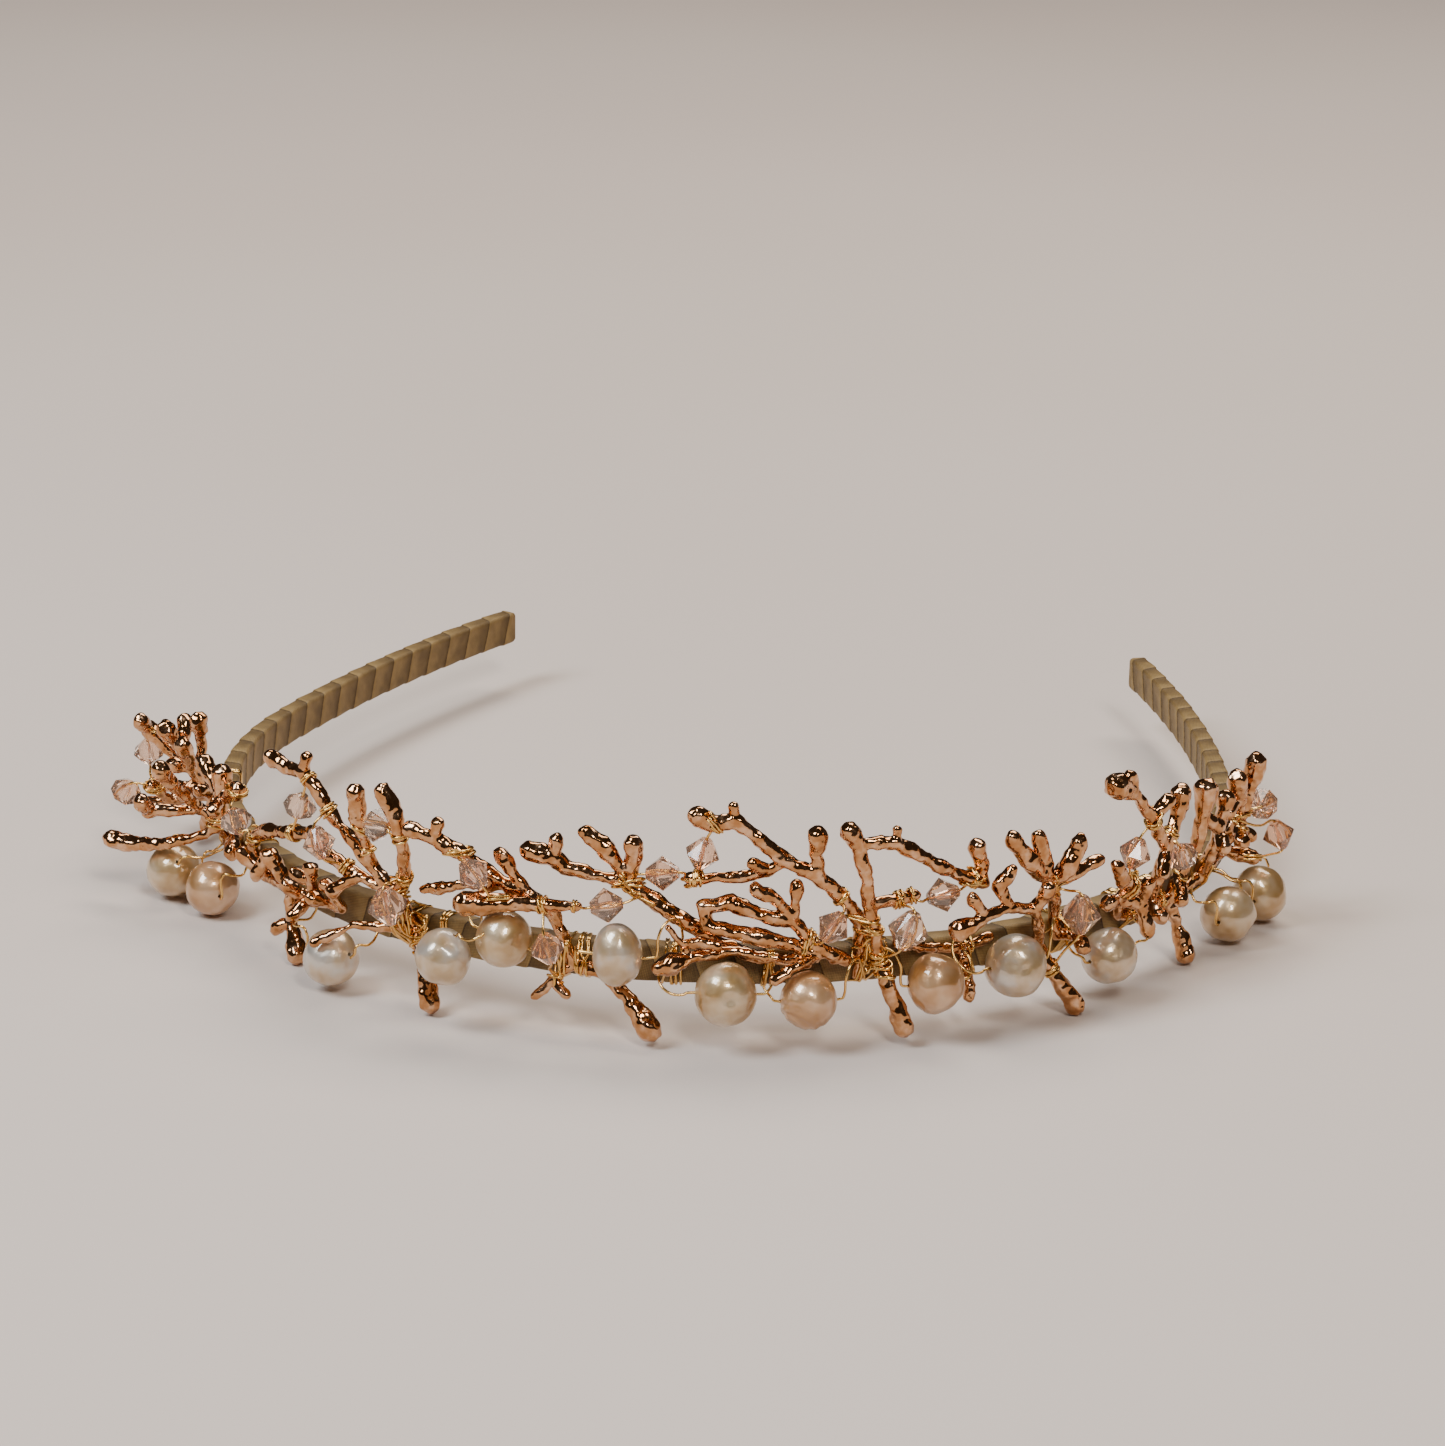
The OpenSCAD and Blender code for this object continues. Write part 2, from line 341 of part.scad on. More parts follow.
module ribbon_crown() color(ribbon_gold) difference() {
  crown_arc(band_t, band_w, band_edge);
  crown_arc(strip_t, strip_w, strip_t / 4);
}
module ribbon_right_leg() color(ribbon_gold) difference() {
  leg_arc(band_t, band_w, band_edge, 0);
  leg_arc(strip_t, strip_w, strip_t / 4, tip_fold);
}
module ribbon_left_leg() mirror([1, 0, 0]) ribbon_right_leg();

// A cast sprig: each limb runs through its knots, and a knot close against the band lies on the ribbon.
function knot_r(p) = limb_scale * pow(p[3], knob_swell);
function on_band(p) = p[1] < 1 && abs(p[2]) < band_w / 2;
module knot(p) translate(place([p[0], on_band(p) ? knot_r(p) - stem_sink : p[1], p[2]]))
  sphere(r = knot_r(p), $fn = 8);
module sprig(limbs) color(rose_gold) for (limb = limbs) for (i = [0:len(limb) - 2]) hull() {
  knot(limb[i]);
  knot(limb[i + 1]);
}

// A pearl is a spheroid with a hole for its wire, in front of the band.
function pearl_half(p) = pearl_d / 2 * p[3];
function pearl_tall(p) = pearl_d / 2 * p[4];
function pearl_out(p) = pearl_gap + max(pearl_half(p), pearl_tall(p)) + p[1];
module at_pearl(p) translate([0, 0, p[2]]) rotate([0, 0, turn(p[0])])
  translate([0, -face_r - pearl_out(p), 0]) children();
module pearl(p) {
  steps = 14;
  arc = [for (i = [0:steps]) let (a = 180 * i / steps - 90)
    [pearl_half(p) * cos(a), pearl_tall(p) * sin(a)]];
  color(pearl_cream) at_pearl(p) difference() {
    rotate_extrude($fn = 64) polygon(arc);
    rotate([0, -p[5], 0]) rotate([0, 90, 0]) cylinder(r = hole_r, h = 3 * pearl_d, center = true, $fn = 32);
  }
}

// The wire of a pearl runs straight through it and turns back at both sides into the ribbon.
module pearl_wire(p) {
  half = pearl_tall(p) * abs(sin(p[5])) + pearl_half(p) * cos(p[5]);
  back = pearl_out(p);
  // height of the grip in the ribbon, on the side that the wire's tilt points to
  function grip(side) = max(-band_w / 3, min(band_w / 3, p[2] + side * half * sin(p[5]))) - p[2];
  function arm(side, run, depth, share) = [side * (half + run) * cos(p[5]), depth,
    side * (half + run) * sin(p[5]) * (1 - share) + grip(side) * share];
  function half_path(side) = [arm(side, 0.9, back + wire_d, 1), arm(side, 1.1, back * 0.7, 0.85),
    arm(side, 1.1, back * 0.3, 0.45), arm(side, 0.7, back * 0.06, 0.12), arm(side, 0.25, 0, 0)];
  path = concat(half_path(-1), [for (i = [4:-1:0]) half_path(1)[i]]);
  color(wire_gold) at_pearl(p) wire(path);
}

// A crystal is a faceted double cone threaded on its wire.
function bead_axis(c) = unit(place(c[2]) - place(c[1]));
module crystal(c) {
  axis = bead_axis(c);
  color(crystal_peach) translate(place(c[0]))
    rotate([0, acos(axis[2]), atan2(axis[1], axis[0])]) difference() {
      scale(c[3]) rotate_extrude($fn = crystal_facets)
        polygon([[0, -crystal_l / 2], [crystal_end / 2, -crystal_l / 2],
          [crystal_d / 2, 0], [crystal_end / 2, crystal_l / 2], [0, crystal_l / 2]]);
      cylinder(r = hole_r, h = 2 * crystal_l, center = true, $fn = 32);
    }
}
module crystal_wire(c) {
  reach = (c[3] * crystal_l / 2 + wire_d) * bead_axis(c);
  color(wire_gold) wire([place(c[1]), place(c[0]) - reach, place(c[0]) + reach, place(c[2])]);
}

// A binding is a square-cornered coil: down the back of the band, sunk flush in the ribbon, and up the front.
module binding(b) {
  back = wire_d - band_t - wire_r;
  front = b[2] + wire_r;
  high = band_w / 2 + wire_r;
  bend = 2 * wire_r;
  loop = [[back, -high + bend], [back, high - bend], [back + bend, high], [front - bend, high],
    [front, high - bend], [front, -high + bend], [front - bend, -high], [back + bend, -high]];
  start = b[0] - b[1] * turn_pitch / 2;
  path = [for (i = [0:8 * b[1]]) let (q = loop[i % 8])
    place([start + turn_pitch * i / 8, q[0], 0]) + [0, 0, q[1]]];
  color(wire_gold) wire(path, [cos(turn(b[0])), sin(turn(b[0])), 0], 5);
}

// A winding is a round coil with its axis upright.
module winding(w) {
  steps = 12;
  centre = place(w);
  path = [for (i = [0:steps * w[4]])
    centre + [w[3] * cos(360 * i / steps), w[3] * sin(360 * i / steps),
      turn_pitch * (i / steps - w[4] / 2)]];
  color(wire_gold) wire(path, [0, 0, 1], 5);
}

module bead_wires(p_first, p_last, c_first, c_last) {
  for (i = [p_first:p_last]) pearl_wire(pearls[i]);
  for (i = [c_first:c_last]) crystal_wire(crystals[i]);
}
module binding_wires(bindings, windings) {
  for (b = bindings) binding(b);
  for (w = windings) winding(w);
}

strip_crown();
strip_left_leg();
strip_right_leg();
ribbon_crown();
ribbon_left_leg();
ribbon_right_leg();
for (s = sprigs) sprig(s[1]);
for (i = [1:len(pearls)]) pearl(pearls[i - 1]);
for (i = [1:len(crystals)]) crystal(crystals[i - 1]);
bead_wires(0, pearls_left - 1, 0, crystals_left - 1);  // bead_wires_left
bead_wires(pearls_left, pearls_centre - 1, crystals_left, crystals_centre - 1);  // bead_wires_centre
bead_wires(pearls_centre, len(pearls) - 1, crystals_centre, len(crystals) - 1);  // bead_wires_right
binding_wires(bindings_left, windings_left);  // binding_wires_left
binding_wires(bindings_centre, windings_centre);  // binding_wires_centre
binding_wires(bindings_right, windings_right);  // binding_wires_right
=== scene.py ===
import random
from math import acos, atan2, ceil, cos, exp, floor, pi, radians, sin

import bpy
from mathutils import Matrix, Vector, noise


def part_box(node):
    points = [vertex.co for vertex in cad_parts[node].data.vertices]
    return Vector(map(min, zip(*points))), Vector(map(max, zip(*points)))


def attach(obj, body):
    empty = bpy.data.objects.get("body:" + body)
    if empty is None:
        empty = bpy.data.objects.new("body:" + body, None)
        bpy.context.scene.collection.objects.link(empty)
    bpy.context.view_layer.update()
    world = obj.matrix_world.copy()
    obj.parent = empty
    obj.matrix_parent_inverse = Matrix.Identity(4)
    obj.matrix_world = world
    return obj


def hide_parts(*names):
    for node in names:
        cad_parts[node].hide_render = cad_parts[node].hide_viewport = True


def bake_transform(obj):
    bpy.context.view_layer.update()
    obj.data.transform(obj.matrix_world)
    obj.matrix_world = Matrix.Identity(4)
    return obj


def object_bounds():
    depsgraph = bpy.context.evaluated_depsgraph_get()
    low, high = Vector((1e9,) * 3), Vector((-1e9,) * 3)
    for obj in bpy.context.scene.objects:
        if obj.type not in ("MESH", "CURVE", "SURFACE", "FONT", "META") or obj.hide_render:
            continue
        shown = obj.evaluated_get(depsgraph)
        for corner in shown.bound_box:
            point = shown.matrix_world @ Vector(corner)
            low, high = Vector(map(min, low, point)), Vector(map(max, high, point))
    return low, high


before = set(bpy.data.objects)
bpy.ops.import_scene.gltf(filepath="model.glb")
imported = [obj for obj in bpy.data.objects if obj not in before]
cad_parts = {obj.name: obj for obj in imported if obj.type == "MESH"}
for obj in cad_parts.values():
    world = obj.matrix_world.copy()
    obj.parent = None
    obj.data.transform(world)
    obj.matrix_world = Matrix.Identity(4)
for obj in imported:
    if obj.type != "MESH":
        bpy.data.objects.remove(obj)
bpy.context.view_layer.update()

# ---------------------------------------------------------------------------------------------------------------
# The spring strip that grips the head: flat steel, cold rolled and polished, cut to three stretches where the band
# flexes. It lies inside the ribbon from tip to tip.

mm = 0.001


class Field:
    """A socket in a material's nodes. Arithmetic on it adds the Math nodes."""

    def __init__(self, tree, socket=None):
        self.tree, self.socket = tree, socket

    def node(self, kind, settings, sockets, output=0):
        """Adds one node: its settings first, then a value or a link for each of its sockets."""
        made = self.tree.nodes.new("ShaderNode" + kind)
        for name, setting in settings.items():
            if name == "stops":
                stops = made.color_ramp.elements
                while len(stops) < len(setting):
                    stops.new(0.5)
                for stop, (place, colour) in zip(stops, setting):
                    stop.position, stop.color = place, (*colour, 1)
            else:
                setattr(made, name, setting)
        for name, value in sockets.items():
            if isinstance(value, Field):
                self.tree.links.new(value.socket, made.inputs[name])
            else:
                made.inputs[name].default_value = value
        return Field(self.tree, made.outputs[output])

    def math(self, operation, *values):
        return self.node("Math", {"operation": operation}, dict(enumerate(values)))

    def __add__(self, other):
        return self.math("ADD", self, other)

    def __sub__(self, other):
        return self.math("SUBTRACT", self, other)

    def __rsub__(self, other):
        return self.math("SUBTRACT", other, self)

    def __mul__(self, other):
        return self.math("MULTIPLY", self, other)

    def __truediv__(self, other):
        return self.math("DIVIDE", self, other)

    def sine(self):
        return self.math("SINE", self)

    __radd__, __rmul__ = __add__, __mul__

    def ramp(self, *stops):
        """The colour that the field picks from stops of (place, colour)."""
        return self.node("ValToRGB", {"stops": stops}, {"Fac": self})

    def between(self, low, high):
        """0 below low, 1 above high, and a smooth rise between them."""
        return self.node("MapRange", {"interpolation_type": "SMOOTHSTEP"},
                         {"Value": self, "From Min": low, "From Max": high})

    def noise(self, size, detail=2.0):
        """Soft noise from 0 to 1 over the place in self, with features of that size."""
        return self.node("TexNoise", {}, {"Vector": self, "Scale": 1 / size, "Detail": detail})


class Finish:
    """A material with one Principled shader, whose constant sockets are set by name."""

    def __init__(self, name, **constants):
        self.material = bpy.data.materials.new(name)
        self.material.use_nodes = True
        self.tree = self.material.node_tree
        self.shader = self.tree.nodes["Principled BSDF"]
        for socket, value in constants.items():
            self.shader.inputs[socket.replace("_", " ")].default_value = value
        self.start = Field(self.tree)
        self.place = self.start.node("TexCoord", {}, {}, "Object")

    def feed(self, **fields):
        for socket, field in fields.items():
            self.tree.links.new(field.socket, self.shader.inputs[socket.replace("_", " ")])

    def bump(self, height, distance):
        self.feed(Normal=self.start.node("Bump", {}, {"Height": height, "Distance": distance}))


spring_steel = Finish("spring steel", Metallic=1.0, Base_Color=(0.55, 0.56, 0.58, 1))
rolled = spring_steel.place.noise(0.4 * mm, 4)
spring_steel.feed(Roughness=0.2 + 0.2 * rolled)
spring_steel.bump(rolled, 0.01 * mm)
for name in ["strip_crown", "strip_left_leg", "strip_right_leg"]:
    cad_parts[name].material_slots[0].material = spring_steel.material

# ---------------------------------------------------------------------------------------------------------------
# The ribbon: olive-gold taffeta wound on the slant round the strip, each turn lapped over the last, and folded over
# at both tips. It is one length in life, parted here at the front under binding wire into two halves.

head_r = 61.4 * mm
band_t, band_w = 2.4 * mm, 4.4 * mm
band_r = head_r + band_t / 2
face_r = head_r + band_t
crown_half = radians(100)
leg_r, leg_turn = 216 * mm, radians(15)
crown_end = crown_half * band_r
tip = crown_end + leg_turn * leg_r


def band_point(along, out, up):
    """A point beside the band: how far along from its front, out from its outer face, and up from its middle."""
    side = -1 if along < 0 else 1
    turn, centre, radius = abs(along) / band_r, Vector(), face_r
    if turn > crown_half:
        turn = crown_half + (abs(along) - crown_end) / leg_r
        centre = Vector((sin(crown_half), -cos(crown_half), 0)) * (band_r - leg_r)
        radius = leg_r + band_t / 2
    place = centre + Vector((sin(turn), -cos(turn), 0)) * (radius + out)
    return Vector((side * place.x, place.y, up))


def band_place(point):
    """The reverse: how far a point is along the band, out from its outer face, and up."""
    side = -1 if point.x < 0 else 1
    flat = Vector((abs(point.x), point.y))
    turn = atan2(flat.x, -flat.y)
    if turn <= crown_half:
        return side * turn * band_r, flat.length - face_r, point.z
    centre = Vector((sin(crown_half), -cos(crown_half))) * (band_r - leg_r)
    leg = flat - centre
    turn = atan2(leg.x, -leg.y) - crown_half
    return side * (crown_end + turn * leg_r), leg.length - leg_r - band_t / 2, point.z


def pick(piece):
    """Makes the piece the only selected object."""
    bpy.ops.object.select_all(action="DESELECT")
    piece.select_set(True)
    bpy.context.view_layer.objects.active = piece


def edit(piece, kind="VERT", chosen=None):
    """Goes into edit mode on the piece, with all selected, or only what chosen says yes to."""
    pick(piece)
    bpy.ops.object.mode_set(mode="EDIT")
    bpy.ops.mesh.select_mode(type=kind)
    bpy.ops.mesh.select_all(action="DESELECT" if chosen else "SELECT")
    if chosen:
        bpy.ops.object.mode_set(mode="OBJECT")
        for part in {"VERT": piece.data.vertices, "EDGE": piece.data.edges, "FACE": piece.data.polygons}[kind]:
            part.select = chosen(part)
        bpy.ops.object.mode_set(mode="EDIT")


def done():
    bpy.ops.object.mode_set(mode="OBJECT")


def smooth(piece, sharp=60):
    pick(piece)
    bpy.ops.object.shade_smooth_by_angle(angle=radians(sharp))


def shape(piece, *modifiers):
    """Adds each modifier to the piece, as its kind and settings, and applies it."""
    pick(piece)
    for kind, settings in modifiers:
        made = piece.modifiers.new(kind.title(), kind)
        for name, value in settings.items():
            setattr(made, name, value)
        bpy.ops.object.modifier_apply(modifier=made.name)


ribbons = []
# Where the two halves meet, how far apart the turns lie, and how thick each turn's edge is and how soon it rises.
parting = -4.6 * mm
wrap_pitch = 4.6 * mm
wrap_step, edge_rise = 0.16 * mm, 0.07
crumple, crumple_size = 0.06 * mm, 2.5 * mm
ring_gap = 0.3 * mm
around = 2 * (band_t + band_w)
end_curve = 0.8 * mm
corner_r = 0.5 * mm


def round_band(out, up):
    """How far round the section a point is from the middle of the outer face, over the top edge to the inside."""
    x, y = out + band_t / 2, up
    if abs(x) / band_t > abs(y) / band_w:
        return y % around if x > 0 else (band_w + band_t - y) % around
    return (band_w / 2 + band_t / 2 - x if y > 0 else 1.5 * band_w + 1.5 * band_t + x) % around


taffeta = Finish("taffeta", Sheen_Weight=0.12, Sheen_Roughness=0.3, Sheen_Tint=(0.9, 0.55, 0.22, 1),
                 Specular_IOR_Level=0.35)
cloth = taffeta.start.node("UVMap", {"uv_map": "cloth"}, {})
u = cloth.node("SeparateXYZ", {}, {"Vector": cloth}, "X")
v = cloth.node("SeparateXYZ", {}, {"Vector": cloth}, "Y")
thread_pitch = 0.27
along_warp, along_weft = u * 0.82 + v * 0.57, u * 0.57 - v * 0.82
warp = (along_warp * (2 * pi / thread_pitch)).sine()
weft = (along_weft * (2 * pi / thread_pitch)).sine()
lap = (u + v * (wrap_pitch / around)) / (wrap_pitch / mm)
lap = lap.math("FRACT", lap)
weave = (warp * weft) * 0.5 + 0.5
mottle = taffeta.place.noise(1.7 * mm, 3)
# The colour mixes the cloth's own weave and mottle with painted shade: a dark line painted at the foot of each lapped
# turn, and paint that is lightest just past each raised edge and darkens towards the next edge.
cloth_tone_and_painted_lap_shade = (0.35 * weave + 0.45 * mottle + 0.35 * (1 - lap)) * lap.between(0.0, 0.05)
taffeta.feed(Base_Color=cloth_tone_and_painted_lap_shade.ramp((0.1, (0.04, 0.02, 0.006)), (0.5, (0.145, 0.085, 0.026)),
                                   (0.9, (0.38, 0.24, 0.085))),
             Roughness=0.42 + 0.2 * weave)
taffeta.bump(weave + 0.5 * mottle, 0.03 * mm)

for side, leg in ((-1, "left_leg"), (1, "right_leg")):
    # The section is a plane set upright across the band at the parting, with its corners rounded.
    bpy.ops.mesh.primitive_plane_add(size=1)
    ribbon = bpy.context.object
    ribbon.name = f"ribbon_{leg[:-4]}_half"
    outward = band_point(parting, 1, 0) - band_point(parting, 0, 0)
    upward = Vector((0, 0, 1))
    stand = Matrix((outward * band_t, upward * band_w, outward.cross(upward))).transposed().to_4x4()
    ribbon.data.transform(Matrix.Translation(band_point(parting, -band_t / 2, 0)) @ stand)
    edit(ribbon)
    bpy.ops.mesh.bevel(offset=corner_r, segments=4, affect="VERTICES")
    done()
    spots = ribbon.data.vertices
    edit(ribbon, "EDGE", lambda edge: (spots[edge.vertices[0]].co - spots[edge.vertices[1]].co).length > 1 * mm)
    bpy.ops.mesh.subdivide(number_cuts=8)
    # Spun along the crown and then along the leg, it narrows to a folded end.
    bpy.ops.mesh.select_all(action="SELECT")
    crown_angle = crown_half - side * parting / band_r
    bpy.ops.mesh.spin(steps=ceil(crown_angle * band_r / ring_gap), angle=-side * crown_angle,
                      center=(0, 0, 0), axis=(0, 0, 1))
    leg_centre = Vector((side * sin(crown_half), -cos(crown_half), 0)) * (band_r - leg_r)
    straight = leg_turn * leg_r - end_curve
    bpy.ops.mesh.spin(steps=ceil(straight / ring_gap), angle=-side * straight / leg_r,
                      center=leg_centre, axis=(0, 0, 1))
    for reach, shrink in ((0.5, 0.93), (0.2, 0.86), (0.1, 0.75)):
        straight += reach * end_curve
        bpy.ops.mesh.spin(steps=1, angle=-side * reach * end_curve / leg_r, center=leg_centre, axis=(0, 0, 1))
        bpy.ops.transform.resize(value=(shrink, shrink, shrink),
                                 center_override=band_point(side * (crown_end + straight), -band_t / 2, 0))
    bpy.ops.mesh.select_all(action="SELECT")
    bpy.ops.mesh.remove_doubles(threshold=0.001 * mm)
    bpy.ops.mesh.normals_make_consistent(inside=False)
    done()
    # Each turn laps the last: its edge stands proud, and it sinks to the next edge.
    places = [band_place(vertex.co) for vertex in ribbon.data.vertices]
    rounds = [round_band(out, up) for along, out, up in places]
    for vertex, (along, out, up), round_place in zip(ribbon.data.vertices, places, rounds):
        turns = side * along / wrap_pitch + round_place / around
        part = turns - floor(turns)
        proud = (min(part / edge_rise, 1) * (1 - part) - 0.5) * wrap_step
        proud += crumple * noise.noise(vertex.co / crumple_size)
        away = (vertex.co - band_point(along, -band_t / 2, up * 0.6)).normalized()
        if side * along < tip - end_curve and abs(along - parting) > 0.01 * mm:
            vertex.co += away * proud
    sheet = ribbon.data.uv_layers.new(name="cloth")
    for face in ribbon.data.polygons:
        corners = [(i, ribbon.data.loops[i].vertex_index) for i in face.loop_indices]
        split = max(rounds[c] for i, c in corners) - min(rounds[c] for i, c in corners) > around / 2
        for i, c in corners:
            over = around if split and rounds[c] < around / 2 else 0
            sheet.data[i].uv = (side * places[c][0] / mm, (rounds[c] + over) / mm)
    smooth(ribbon)
    ribbon.data.materials.append(taffeta.material)
    ribbons.append(ribbon)
    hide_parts("ribbon_crown", f"ribbon_{leg}")
    flex, flex_reach = side * crown_end, side * 8 * mm
    band_point(flex - flex_reach, -band_t / 2, 0)
    band_point(flex + flex_reach, -band_t / 2, 0)
    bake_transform(ribbon)

# ---------------------------------------------------------------------------------------------------------------
# The twigs: cast in brass from wax sprigs, with the wax's soft lumps and creases, and plated with mirror-bright rose
# gold. They are bound to the outside of the ribbon with wire.

rose_gold = Finish("rose gold", Metallic=1.0)
worn = rose_gold.place.noise(1.2 * mm, 3)
pores = rose_gold.place.noise(0.3 * mm, 3)
rose_gold.feed(Base_Color=worn.ramp((0.3, (0.42, 0.18, 0.062)), (0.5, (0.56, 0.28, 0.122)), (0.72, (0.78, 0.48, 0.29))),
               Roughness=0.11 + 0.14 * worn.between(0.5, 0.8))
rose_gold.bump(pores + 3 * worn, 0.008 * mm)

lumps = bpy.data.textures.new("wax lumps", "CLOUDS")
lumps.noise_scale, lumps.noise_depth = 1.9 * mm, 2
dimples = bpy.data.textures.new("dimples", "CLOUDS")
dimples.noise_scale, dimples.noise_depth, dimples.noise_type = 1.3 * mm, 0, "HARD_NOISE"

twigs = []
voxel = 0.15 * mm
for name in [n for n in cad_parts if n.startswith("sprig_")]:
    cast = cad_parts[name].data.copy()
    twig = bpy.data.objects.new(name.replace("sprig", "twig"), cast)
    bpy.context.collection.objects.link(twig)
    edit(twig)
    bpy.ops.mesh.remove_doubles(threshold=0.001 * mm)
    done()
    shape(twig, ("REMESH", {"mode": "VOXEL", "voxel_size": voxel}),
          ("SMOOTH", {"factor": 0.5, "iterations": 4}),
          ("DISPLACE", {"strength": 0.66 * mm, "mid_level": 0.33, "texture": lumps, "texture_coords": "LOCAL"}),
          ("DISPLACE", {"strength": -0.2 * mm, "mid_level": 0.22, "texture": dimples, "texture_coords": "LOCAL"}),
          ("SMOOTH", {"factor": 0.5, "iterations": 4}))
    smooth(twig)
    twig.data.materials.clear()
    twig.data.materials.append(rose_gold.material)
    twigs.append(twig)
    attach(twig, "crown")
    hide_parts(name)

# ---------------------------------------------------------------------------------------------------------------
# The pearls: freshwater, grown a little out of round, with rings and dents in the nacre, each drilled for its wire.


def nacre(name, deep, body, pale, bloom):
    """The skin of a pearl: clouded from deep to pale, under clear layers that give it its bloom."""
    skin = Finish(name, Metallic=0.5, Coat_Weight=1.0, Coat_Roughness=0.04, Coat_IOR=1.8, Sheen_Weight=0.15,
                  Sheen_Roughness=0.35, Sheen_Tint=(*bloom, 1), Subsurface_Weight=0.1, Subsurface_Scale=1 * mm,
                  Subsurface_Radius=(1.0, 0.6, 0.3), Thin_Film_Thickness=330.0, Thin_Film_IOR=1.45)
    cloud = skin.place.noise(3 * mm, 2)
    layers = skin.place.noise(0.6 * mm, 2)
    skin.feed(Base_Color=cloud.ramp((0.36, deep), (0.5, body), (0.64, pale)), Roughness=0.26 + 0.16 * cloud)
    skin.bump(layers + 5 * cloud, 0.05 * mm)
    return skin


cream = nacre("cream nacre", (0.45, 0.27, 0.1), (0.57, 0.39, 0.2), (0.64, 0.49, 0.31), (0.9, 0.5, 0.14))
peach = nacre("peach nacre", (0.45, 0.22, 0.07), (0.57, 0.32, 0.145), (0.65, 0.41, 0.23), (0.9, 0.4, 0.1))
white = nacre("white nacre", (0.5, 0.34, 0.17), (0.61, 0.46, 0.3), (0.62, 0.55, 0.47), (0.85, 0.56, 0.25))

hole_r = 0.24 * mm
# Each pearl: its nacre, the tilt of its wire in degrees, and how many growth rings, dents and corners it has.
kinds = {
    1: (cream, 35, 0, 2, 0), 2: (peach, 0, 0, 2, 0), 3: (white, 20, 0, 3, 0), 4: (white, 60, 0, 6, 1),
    5: (cream, -15, 0, 1, 0), 6: (white, 0, 1, 1, 0), 7: (cream, 0, 2, 3, 1), 8: (peach, 0, 6, 1, 0),
    9: (peach, 0, 3, 2, 1), 10: (white, 0, 0, 5, 4), 11: (white, 0, 2, 3, 0), 12: (cream, 0, 1, 2, 0),
    13: (cream, 0, 0, 2, 1),
}
rows = 44
# How much smaller a pearl starts than its box, and the most that it then swells, as shares of its radius.
slimmed, most_swelling = 0.03, 0.08
for number, (skin, tilt, rings, dents, corners) in kinds.items():
    node = f"pearl_{number}"
    low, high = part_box(node)
    bpy.ops.mesh.primitive_uv_sphere_add(segments=64, ring_count=rows, radius=1)
    pearl = bpy.context.object
    pearl.name = f"{node}_nacre"
    # The drill hole runs from pole to pole.
    half = (high - low) / 2
    bore = hole_r / half.x
    edit(pearl, "VERT", lambda vertex: abs(vertex.co.z) > 0.9999)
    bpy.ops.mesh.delete(type="VERT")
    done()
    first_ring = sin(pi / rows)
    edit(pearl, "VERT", lambda vertex: Vector(vertex.co[:2]).length < first_ring * 1.01)
    bpy.ops.mesh.select_mode(type="EDGE")
    bpy.ops.transform.resize(value=(bore / first_ring, bore / first_ring, 1), center_override=(0, 0, 0))
    bpy.ops.mesh.bridge_edge_loops()
    done()
    # Grown out of round: low swellings and corners, rings about one side, and shallow dents.
    draw = random.Random(number)
    pole = Vector((draw.uniform(-1, 1), draw.uniform(-1, -0.4), draw.uniform(-0.9, -0.2))).normalized()
    pits = [(Vector((draw.gauss(0, 0.7), draw.gauss(-0.8, 0.6), draw.gauss(0, 0.7))).normalized(),
             draw.uniform(0.03, 0.07), draw.uniform(0.15, 0.35)) for i in range(dents)]
    knobs = [(Vector((draw.uniform(-1, 1), draw.uniform(-0.8, 0.2), draw.uniform(-1, 1))).normalized(),
              -0.1, 0.5) for i in range(corners)]
    to_wire = Matrix.Rotation(radians(-tilt), 3, "Y") @ Matrix.Rotation(radians(90), 3, "Y")
    turn = Matrix.Rotation(band_place((low + high) / 2)[0] / band_r, 3, "Z")
    for vertex in pearl.data.vertices:
        way = to_wire @ vertex.co.normalized()
        grown = 0.045 * noise.noise(way * 1.1 + Vector((number, 0, 0))) + 0.012 * noise.noise(way * 3.5)
        around_pole = acos(max(-1, min(1, way.dot(pole))))
        grown += 0.024 * rings / 6 * cos(around_pole * (8 + 1.5 * rings)) * exp(-((around_pole - 0.7) / 0.5) ** 2)
        for place, deep, wide in pits + knobs:
            grown -= deep * exp(-((way - place).length / wide) ** 2)
        inside = Vector(vertex.co[:2]).length < bore * 1.02
        body = to_wire @ vertex.co * (1 + (0 if inside else min(grown, most_swelling)) - slimmed)
        vertex.co = turn @ Vector((body.x * half.x, body.y * half.x, body.z * half.z)) + (low + high) / 2
    smooth(pearl)
    pearl.data.materials.append(skin.material)
    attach(pearl, f"{node}_body")
    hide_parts(node)

# ---------------------------------------------------------------------------------------------------------------
# The crystals: bicone beads of pale peach glass, cut with long crossing facets and threaded tight on their wires.

crystal_d, crystal_l, crystal_end = 4 * mm, 3.7 * mm, 1.3 * mm
glass = Finish("peach crystal", Transmission_Weight=0.9, IOR=1.57, Roughness=0.0, Coat_Weight=0.2)
tint = glass.place.noise(9 * mm, 1)
glass.feed(Base_Color=tint.ramp((0.35, (1.0, 0.64, 0.45)), (0.65, (1.0, 0.76, 0.6))))

